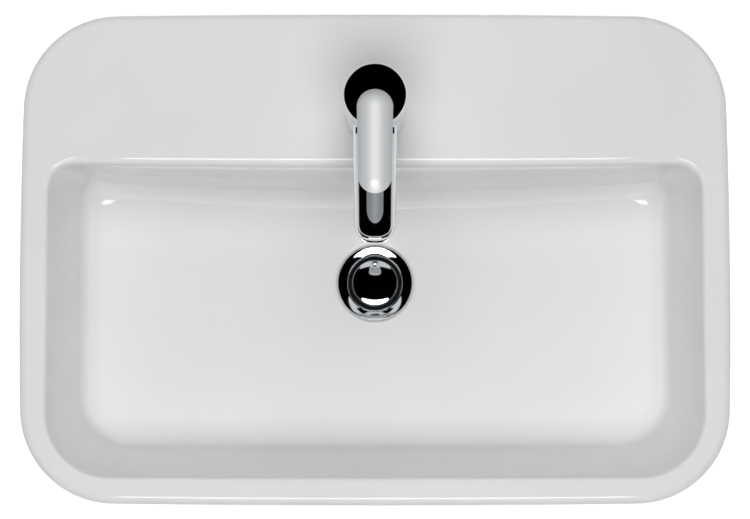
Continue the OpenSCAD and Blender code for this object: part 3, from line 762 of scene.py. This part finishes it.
def on_top(ring, share, drop):
    """The ring drawn in towards the spine and laid on the top, which is crowned across and
    straight along, a drop below it. share is 1 at the edge and 0 on the spine."""
    tip = -SPOUT_REACH + SPOUT_TIP_HALF_W
    laid = []
    for p in ring:
        y = p.y - TAP_Y
        spine = Vector((0, max(y, tip), 0))
        place = spine + (Vector((p.x, y, 0)) - spine) * share
        across = min(abs(place.x) / SPOUT_TIP_HALF_W, 1)
        z = spout_top(place.y) - SPOUT_CROWN * across * across - drop
        laid.append(Vector((place.x, place.y + TAP_Y, z + RIM_Z)))
    return laid


def build_tap_body():
    """Body and spout cast in one: upright rings, which swell from the round body into the spout's
    sloping underside and end in its crowned, rising top with rounded edges."""
    foot_edge = 0.5
    rings = [tap_ring(GASKET_T, inset=foot_edge, body_inset=foot_edge, spout=0)]
    rings += [tap_ring(z, spout=0) for z in (GASKET_T + foot_edge, 20, SWELL_START)]

    def ramp(z):
        """Reach of the sloping underside."""
        share = (z - SPOUT_ROOT) / (SPOUT_BOTTOM - SPOUT_ROOT)
        return BODY_R + share * (RAMP_END - BODY_R)

    for i in range(1, SWELL_H + 1):
        z = SWELL_START + i
        rings.append(tap_ring(z, max(ramp(z), BODY_R + 0.5), 3, spout=smooth(i / SWELL_H)))
    for i in range(1, 12):
        z = SWELL_START + SWELL_H + (SPOUT_BOTTOM - SWELL_START - SWELL_H) * i / 12
        rings.append(tap_ring(z, ramp(z), 3))
    rings.append(tap_ring(SPOUT_BOTTOM - 0.6, RAMP_END - 1.4, 3))
    rings.append(tap_ring(SPOUT_BOTTOM, RAMP_END + 1, 4))
    for i in range(7):
        a = math.pi / 2 * i / 6
        rings.append(tap_ring(SPOUT_BOTTOM + SPOUT_LOW_R * (1 - math.cos(a)),
                              SPOUT_REACH - SPOUT_LOW_R * (1 - math.sin(a))))
    rings += between(rings[-1], on_top(tap_ring(0), 1, SPOUT_EDGE_R), (0.3, 0.65))
    for i in range(11):
        a = math.pi / 2 * i / 10
        edge = tap_ring(0, inset=SPOUT_EDGE_R * (1 - math.cos(a)))
        rings.append(on_top(edge, 1, SPOUT_EDGE_R * (1 - math.sin(a))))
    inner = tap_ring(0, inset=SPOUT_EDGE_R)
    rings += [on_top(inner, 1 - i / 16, 0) for i in range(1, 17)]
    bm = bmesh.new()
    loft(bm, rings, caps=(True, False))
    piece = to_object(bm, "tap_casting", [CHROME])

    # The body's top stands above the spout as a collar, which is let into the casting.
    collar = bmesh.new()
    collar_r = BODY_R - 0.02
    collar_low = SPOUT_TOP - 9
    rounded = arc((collar_r - BODY_EDGE_R, BODY_H - BODY_EDGE_R), BODY_EDGE_R, 0, 90, 5)
    lathe(collar, raised([(0, collar_low), (collar_r, collar_low)] + rounded + [(0, BODY_H)],
                         RIM_Z), centre=(0, TAP_Y))
    cut(piece, [collar], "UNION")
    ports = [drum(side * PORT_X, TAP_Y + PORT_Y, PORT_R, RIM_Z - PAST, RIM_Z + PORT_TOP, 48)
             for side in (-1, 1)]
    stud = drum(0, TAP_Y + STUD_Y, STUD_HOLE_R, RIM_Z - PAST, RIM_Z + STUD_HOLE_TOP, 48)
    chamber = bmesh.new()
    lathe(chamber, raised([(0, CHAMBER_LOW), (CHAMBER_R, CHAMBER_LOW), (CHAMBER_R, CHAMBER_TOP),
                           (MOUTH_R, CHAMBER_TOP + MOUTH_R - CHAMBER_R),
                           (MOUTH_R, BODY_H + PAST), (0, BODY_H + PAST)], RIM_Z),
          centre=(0, TAP_Y))
    outlet = drum(0, TAP_Y + AERATOR_Y, AERATOR_HOLE_R, RIM_Z + SPOUT_BOTTOM - PAST,
                  RIM_Z + AERATOR_HOLE_TOP)
    cut(piece, ports + [stud, chamber, outlet])
    return piece


tap_casting = build_tap_body()
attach(tap_casting, "fixed")
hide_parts("tap_body")


# The lever

CAP_R = 24.7
CAP_TOP = 118
CAP_LOW = 60
CAP_EDGE_R = 0.8
CAP_GAP = 0.4
CAP_SLOPE = 13.6
CAP_BORE_R = 21.5
CAP_BORE_TOP = 107.5
LEVER_BACK = 4
LEVER_FRONT = 78.5
LEVER_HALF_W = 14.2
LEVER_TIP_HALF_W = 13
LEVER_T = 8
LEVER_TIP_T = 7.3
LEVER_RISE = 6
LEVER_CROWN_R = 19.5
LEVER_END_STEPS = 20
LEVER_SIDE_STEPS = 40
BUTTON_R = 3.5
BUTTON_T = 4
BUTTON_DEPTH = 3
BUTTON_Z = 113

SATIN = satin_chrome(TAP_Y + LEVER_BACK - LEVER_HALF_W, LEVER_HALF_W)


def lever_ring(shrink, height):
    """Ring of the lever's blade, drawn in towards its spine. height gives z from the place along
    the blade."""
    back_y = LEVER_BACK - LEVER_HALF_W
    tip_y = -LEVER_FRONT + LEVER_TIP_HALF_W
    right = []
    for i in range(LEVER_END_STEPS + 1):
        a = math.pi / 2 * (1 - i / LEVER_END_STEPS)
        right.append((back_y, LEVER_HALF_W * math.cos(a), LEVER_HALF_W * math.sin(a)))
    for i in range(1, LEVER_SIDE_STEPS):
        t = i / LEVER_SIDE_STEPS
        half = LEVER_HALF_W + (LEVER_TIP_HALF_W - LEVER_HALF_W) * t
        right.append((back_y + (tip_y - back_y) * t, half, 0))
    for i in range(LEVER_END_STEPS + 1):
        a = -math.pi / 2 * i / LEVER_END_STEPS
        right.append((tip_y, LEVER_TIP_HALF_W * math.cos(a), LEVER_TIP_HALF_W * math.sin(a)))
    plan = [(x * (1 - shrink), y + out * (1 - shrink)) for y, x, out in right]
    plan += [(-x, y) for x, y in reversed(plan[1:-1])]
    return [Vector((x, y + TAP_Y, RIM_Z + height(y))) for x, y in plan]


def build_blade():
    """The lever's blade, a crowned bar with round ends that rises to its tip."""
    rise = math.tan(math.radians(LEVER_RISE))

    def top(y):
        return CAP_TOP + LEVER_T - y * rise

    def under(y):
        low = CAP_TOP - 1
        tip_low = top(-LEVER_FRONT) - LEVER_TIP_T
        run = max(0, (-y - CAP_R / 2) / (LEVER_FRONT - CAP_R / 2))
        return low + (tip_low - low) * run

    rings = []
    low_round = ((0.16, 0), (0.06, 0.15), (0.015, 0.5), (0, 1))
    for shrink, lift in low_round:
        rings.append(lever_ring(shrink, lambda y: under(y) + lift))
    for i in range(19):
        share = math.cos(math.pi / 2 * i / 18)
        fall = LEVER_CROWN_R - math.sqrt(LEVER_CROWN_R ** 2 - (share * LEVER_HALF_W) ** 2)
        rings.append(lever_ring(1 - share, lambda y: top(y) - fall))
    bm = bmesh.new()
    loft(bm, rings, caps=(True, False))
    return to_object(bm, "lever_blade", [SATIN])


def build_cap():
    """The lever's cap: turned, with a rounded top edge, a slanted lower edge that clears the body
    when the lever is lifted, and a seat for the button at the back."""
    rounded = arc((CAP_R - CAP_EDGE_R, CAP_TOP - CAP_EDGE_R), CAP_EDGE_R, 0, 90, 10)
    profile = [(0, CAP_LOW), (CAP_R, CAP_LOW)] + rounded
    profile += [(CAP_R - CAP_EDGE_R - 0.6, CAP_TOP), (0, CAP_TOP)]
    bm = bmesh.new()
    lathe(bm, raised(profile, RIM_Z), centre=(0, TAP_Y))
    slope = math.radians(CAP_SLOPE)
    cutting = bmesh.ops.bisect_plane(
        bm, geom=bm.verts[:] + bm.edges[:] + bm.faces[:], dist=0.0001,
        plane_co=(0, TAP_Y - CAP_R, RIM_Z + BODY_H + CAP_GAP),
        plane_no=(0, math.sin(slope), -math.cos(slope)), clear_outer=True)
    rim = [g for g in cutting["geom_cut"] if isinstance(g, bmesh.types.BMEdge)]
    bmesh.ops.contextual_create(bm, geom=rim)
    cap = to_object(bm, "lever_cap", [CHROME])
    button = drum(0, 0, BUTTON_R, 0, BUTTON_T, 48)
    bmesh.ops.rotate(button, cent=(0, 0, 0), matrix=Matrix.Rotation(math.radians(-90), 3, "X"),
                     verts=button.verts)
    bmesh.ops.translate(button, vec=(0, TAP_Y + CAP_R - BUTTON_DEPTH, RIM_Z + BUTTON_Z),
                        verts=button.verts)
    cut(cap, [drum(0, TAP_Y, CAP_BORE_R, RIM_Z + CAP_LOW - PAST, RIM_Z + CAP_BORE_TOP), button])
    return cap


lever_blade = build_blade()
lever_cap = build_cap()
for piece, slot_name in ((lever_cap, "chrome"), (lever_blade, "satin_chrome")):
    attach(piece, "lever")
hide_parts("lever_handle")


# The waste. Heights here are above the ceramic seat.

FLANGE_R = 33.4
FLANGE_H = 4.2
FLANGE_EDGE_R = 0.6
FLANGE_SEAL_T = 1.2
DISH_START = 8
DISH_END = 24
DISH_INNER_R = 20.6
NECK_R = 22.2
NECK_LOW = -4
THREAD_TOP = -5
TAIL_R = 20.95
TAIL_BORE_R = 17.55
TAIL_END = -52
GROOVE_LOW = -30
GROOVE_TOP = -28
GROOVE_R = TAIL_R - 1
PLUG_R = 20
PLUG_T = 4.5
PLUG_UNDER = 8.5
PLUG_UNDER_R = 0.7
PLUG_CROWN = 1.4
PLUG_EDGE_R = 0.35

# The three arms in the tail, each by its middle and size, and the ring that they hold
ARM_Z = -16
ARM_AT = 13.5
ARM_SIZE = (10, 3, 4)
HOLDER_BORE_R = 6.6
HOLDER_R = 9
HOLDER_LOW = -18
HOLDER_TOP = -14


def build_waste():
    """Dished flange, funnel and threaded tail turned in one, with three arms that carry the click
    barrel."""
    edge_r = FLANGE_R - FLANGE_EDGE_R
    lip = [(FLANGE_R - 1.2, FLANGE_SEAL_T), (FLANGE_R - 0.3, FLANGE_SEAL_T + 0.3)]
    lip += arc((edge_r, FLANGE_H - FLANGE_EDGE_R), FLANGE_EDGE_R, 0, 90 + DISH_START, 6)
    start, end = math.radians(DISH_START), math.radians(DISH_END)
    dish_r = (edge_r - DISH_INNER_R) / (math.sin(end) - math.sin(start))
    centre = (edge_r + dish_r * math.sin(start), FLANGE_H - dish_r * math.cos(start))
    lip += arc(centre, dish_r, 90 + DISH_START + 1, 90 + DISH_END, 12)
    profile = [(TAIL_BORE_R, TAIL_END), (TAIL_R - EASED, TAIL_END), (TAIL_R, TAIL_END + EASED),
               (TAIL_R, GROOVE_LOW), (GROOVE_R, GROOVE_LOW), (GROOVE_R, GROOVE_TOP),
               (TAIL_R, GROOVE_TOP), (TAIL_R, THREAD_TOP), (NECK_R, NECK_LOW),
               (NECK_R, FLANGE_SEAL_T)] + lip
    x, z = profile[-1]
    profile += [(x - 0.7, z - 0.5), (x - 1.3, z - 1.3), (TAIL_BORE_R + 0.6, -2.6),
                (TAIL_BORE_R, -3.6)]
    bm = bmesh.new()
    lathe(bm, raised(profile, SEAT_Z), centre=(0, WASTE_Y), steps=144)
    for turn in (90, 210, 330):
        placed = (Matrix.Translation((0, WASTE_Y, SEAT_Z + ARM_Z))
                  @ Matrix.Rotation(math.radians(turn), 4, "Z")
                  @ Matrix.Translation((ARM_AT, 0, 0)) @ Matrix.Diagonal((*ARM_SIZE, 1)))
        bmesh.ops.create_cube(bm, size=1, matrix=placed)
    holder = [(HOLDER_BORE_R, HOLDER_LOW), (HOLDER_R, HOLDER_LOW), (HOLDER_R, HOLDER_TOP),
              (HOLDER_BORE_R, HOLDER_TOP)]
    lathe(bm, raised(holder, SEAT_Z), centre=(0, WASTE_Y), steps=64)
    casting = to_object(bm, "waste_casting", [CHROME_THREADED, CHROME])
    for polygon in casting.data.polygons:
        if polygon.center.z > (SEAT_Z + THREAD_TOP + 0.5) * MM:
            polygon.material_index = 1
    return casting


def build_plug():
    """Plug cap: a crowned top that falls faster towards its edge, and small rounds at the rim."""
    top = PLUG_UNDER + PLUG_T
    under_edge = PLUG_R - PLUG_UNDER_R
    profile = [(0, PLUG_UNDER), (under_edge - PLUG_UNDER_R, PLUG_UNDER)]
    profile += arc((under_edge, PLUG_UNDER + PLUG_UNDER_R), PLUG_UNDER_R, -90, 0, 4)
    edge = PLUG_R - PLUG_EDGE_R
    profile += arc((edge, top - PLUG_CROWN - PLUG_EDGE_R), PLUG_EDGE_R, 0, 76, 5)
    profile += [(edge * (1 - i / 16), top - PLUG_CROWN * (1 - i / 16) ** 3) for i in range(17)]
    bm = bmesh.new()
    lathe(bm, raised(profile, SEAT_Z), centre=(0, WASTE_Y), steps=144)
    return to_object(bm, "plug_button", [CHROME])


waste_casting = build_waste()
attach(waste_casting, "fixed")
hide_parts("waste_body")

plug_button = build_plug()
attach(plug_button, "plug")
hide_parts("plug_cap")


# Finishes of the CAD pieces that stay

FINISHES = {
    "handle_screw": STEEL, "handle_plug": CHROME, "dome_cover": CHROME, "cartridge_nut": BRASS,
    "cartridge_housing": WHITE_PLASTIC, "cartridge_turret": WHITE_PLASTIC, "lever_stem": STEEL,
    "stem_pin": STEEL, "disc_holder": BLUE_PLASTIC, "moving_disc": ALUMINA,
    "fixed_disc": ALUMINA, "cartridge_base": BLUE_PLASTIC, "cartridge_seals": RUBBER,
    "aerator_housing": CHROME, "aerator_insert": WHITE_PLASTIC, "aerator_seal": RUBBER,
    "tap_base_seal": RUBBER, "fixing_stud": BRASS, "deck_pad": RUBBER, "clamp_plate": STEEL,
    "stud_nut": BRASS, "flange_seal": RUBBER, "lower_seal": RUBBER, "slip_washer": WHITE_PLASTIC,
    "back_nut": BRASS, "plug_seal": RUBBER, "click_housing": WHITE_PLASTIC,
    "click_plunger": STEEL, "click_spring": STEEL,
}
for name, material in FINISHES.items():
    for slot in nodes[name].material_slots:
        slot.material = material


# Floor, world and light

# The floor's half width and drop under the foot, in millimetres
FLOOR_HALF = 6000
FLOOR_DROP = 0.3

# The share of the floor's white that is its own: from GLOW within GLOW_NEAR metres of the
# object's middle to all of it beyond GLOW_FAR, where the lamps don't reach
GLOW = 0.8
GLOW_NEAR = 0.8
GLOW_FAR = 2.5


def white_floor():
    """Plain white floor, as white as the background. What isn't its own white comes from the
    lamps and takes the object's shadow."""
    m, place = new_material("studio_floor")
    ray = add(m, "ShaderNodeLightPath")
    seen = add(m, "ShaderNodeMath", {"operation": "MAXIMUM"}, i0=ray.outputs["Is Camera Ray"],
               i1=ray.outputs["Is Glossy Ray"])
    away = add(m, "ShaderNodeVectorMath", {"operation": "LENGTH"}, i0=place)
    glow = add(m, "ShaderNodeEmission", {"Color": linear("#FFFFFF")},
               Strength=spread(m, away.outputs["Value"], GLOW, 1, GLOW_NEAR, GLOW_FAR))
    paint = add(m, "ShaderNodeBsdfDiffuse", {"Color": linear("#B4B4B4")})
    both = add(m, "ShaderNodeAddShader", i0=glow.outputs["Emission"], i1=paint.outputs["BSDF"])
    plain = add(m, "ShaderNodeBsdfDiffuse", {"Color": linear("#F0F0F0")})
    mix = add(m, "ShaderNodeMixShader", Fac=seen.outputs[0], i1=plain.outputs["BSDF"],
              i2=both.outputs["Shader"])
    return finish_material(m, mix.outputs["Shader"])


floor_bm = bmesh.new()
bmesh.ops.create_grid(floor_bm, x_segments=1, y_segments=1, size=FLOOR_HALF,
                      matrix=Matrix.Translation((0, 0, -FLOOR_DROP)))
floor = to_object(floor_bm, "studio_floor", [white_floor()])


# The room that polished metal sees, as sines of the angle from straight up, and how bright its
# walls and the light at the back are
CEILING_SIDE = 0.75
CEILING_FRONT = 0.6
CEILING_BACK = 0.28
FLAG_SIDE = 0.26
FLAG_FRONT = 0.42
FLAG_BACK = 0.62
GLOSS_ROOM = 0.95
GLOSS_BACK = 0.78

# Where its bright floor starts, as the sine of the angle above the horizon
HORIZON = 0.1

# How bright the room is for matt surfaces
ROOM_LEVEL = 0.12


def studio_world():
    """White all round, seen as pure white by the camera, with a little fill for matt surfaces.
    Polished metal sees a dark ceiling between bright walls and floor, with a grey light at its
    back and a dark flag in that light, as in a product studio."""
    world = bpy.data.worlds.new("studio_world")
    scene.world = world
    world.use_nodes = True
    world.node_tree.nodes.clear()
    way = add(world, "ShaderNodeTexCoord").outputs["Generated"]
    part = add(world, "ShaderNodeSeparateXYZ", Vector=way)
    y, z = part.outputs["Y"], part.outputs["Z"]

    def maths(operation, first, second=None):
        node = add(world, "ShaderNodeMath", {"operation": operation}, i0=first)
        if second is not None:
            world.node_tree.links.new(second, node.inputs[1])
        return node.outputs[0]

    def edge(value, at, softness, level=1):
        """From 0 to a level where the value passes at, upwards, or downwards where the softness
        is negative."""
        return add(world, "ShaderNodeMapRange",
                   {"interpolation_type": "SMOOTHSTEP", "From Min": at, "From Max": at + softness,
                    "To Max": level}, Value=value).outputs["Result"]

    aside = maths("ABSOLUTE", part.outputs["X"])
    side = edge(aside, CEILING_SIDE, 0.06, GLOSS_ROOM)
    front = edge(y, -CEILING_FRONT, -0.04, GLOSS_ROOM)
    below = edge(z, HORIZON, -0.15, GLOSS_ROOM)
    off_flag = edge(aside, FLAG_SIDE, 0.04)
    for past_end in (edge(y, FLAG_BACK, 0.06), edge(y, FLAG_FRONT, -0.02)):
        off_flag = maths("MAXIMUM", off_flag, past_end)
    back = maths("MULTIPLY", off_flag, edge(y, CEILING_BACK, 0.03, GLOSS_BACK))
    seen = side
    for other in (front, below, back):
        seen = maths("MAXIMUM", seen, other)

    # Inputs 2 and 3 of the mix are its two numbers.
    ray = add(world, "ShaderNodeLightPath")
    level = add(world, "ShaderNodeMix", {2: ROOM_LEVEL}, i0=ray.outputs["Is Glossy Ray"], i3=seen)
    light = add(world, "ShaderNodeBackground", {"Color": linear("#FFFFFF")},
                Strength=level.outputs[0])
    plain = add(world, "ShaderNodeBackground", {"Color": linear("#FFFFFF"), "Strength": 1})
    mix = add(world, "ShaderNodeMixShader", Fac=ray.outputs["Is Camera Ray"],
              i1=light.outputs["Background"], i2=plain.outputs["Background"])
    out = add(world, "ShaderNodeOutputWorld")
    world.node_tree.links.new(mix.outputs["Shader"], out.inputs["Surface"])


studio_world()


# Lamps: degrees in front of straight up, width and depth in metres, and power in watts
BOX_AIM = Vector((0, 0, 0.12))
BOX_DISTANCE = 2
MATT_BOXES = {
    "front_soft_box": (17, 1.2, 1.0, 23.5),
    "back_soft_box": (-22, 1.4, 0.7, 10),
    "low_back_soft_box": (-50, 1.4, 0.7, 2),
}
GLINT_BOX = (21.5, 1.0, 0.48, 9.7)


def soft_box(name, forward, width, depth, power):
    """A rectangular soft light over the object, which the camera doesn't see."""
    light = bpy.data.lights.new(name, "AREA")
    light.shape = "RECTANGLE"
    light.size = width
    light.size_y = depth
    light.energy = power
    lamp = bpy.data.objects.new(name, light)
    a = math.radians(forward)
    lamp.location = BOX_AIM + BOX_DISTANCE * Vector((0, -math.sin(a), math.cos(a)))
    lamp.rotation_mode = "QUATERNION"
    lamp.rotation_quaternion = (BOX_AIM - lamp.location).to_track_quat("-Z", "Y")
    lamp.visible_camera = False
    scene.collection.objects.link(lamp)
    return lamp


# These light the object and don't show in polish and glaze.
for name, box in MATT_BOXES.items():
    soft_box(name, *box).visible_glossy = False

# This one shows only there.
soft_box("front_glint", *GLINT_BOX).visible_diffuse = False
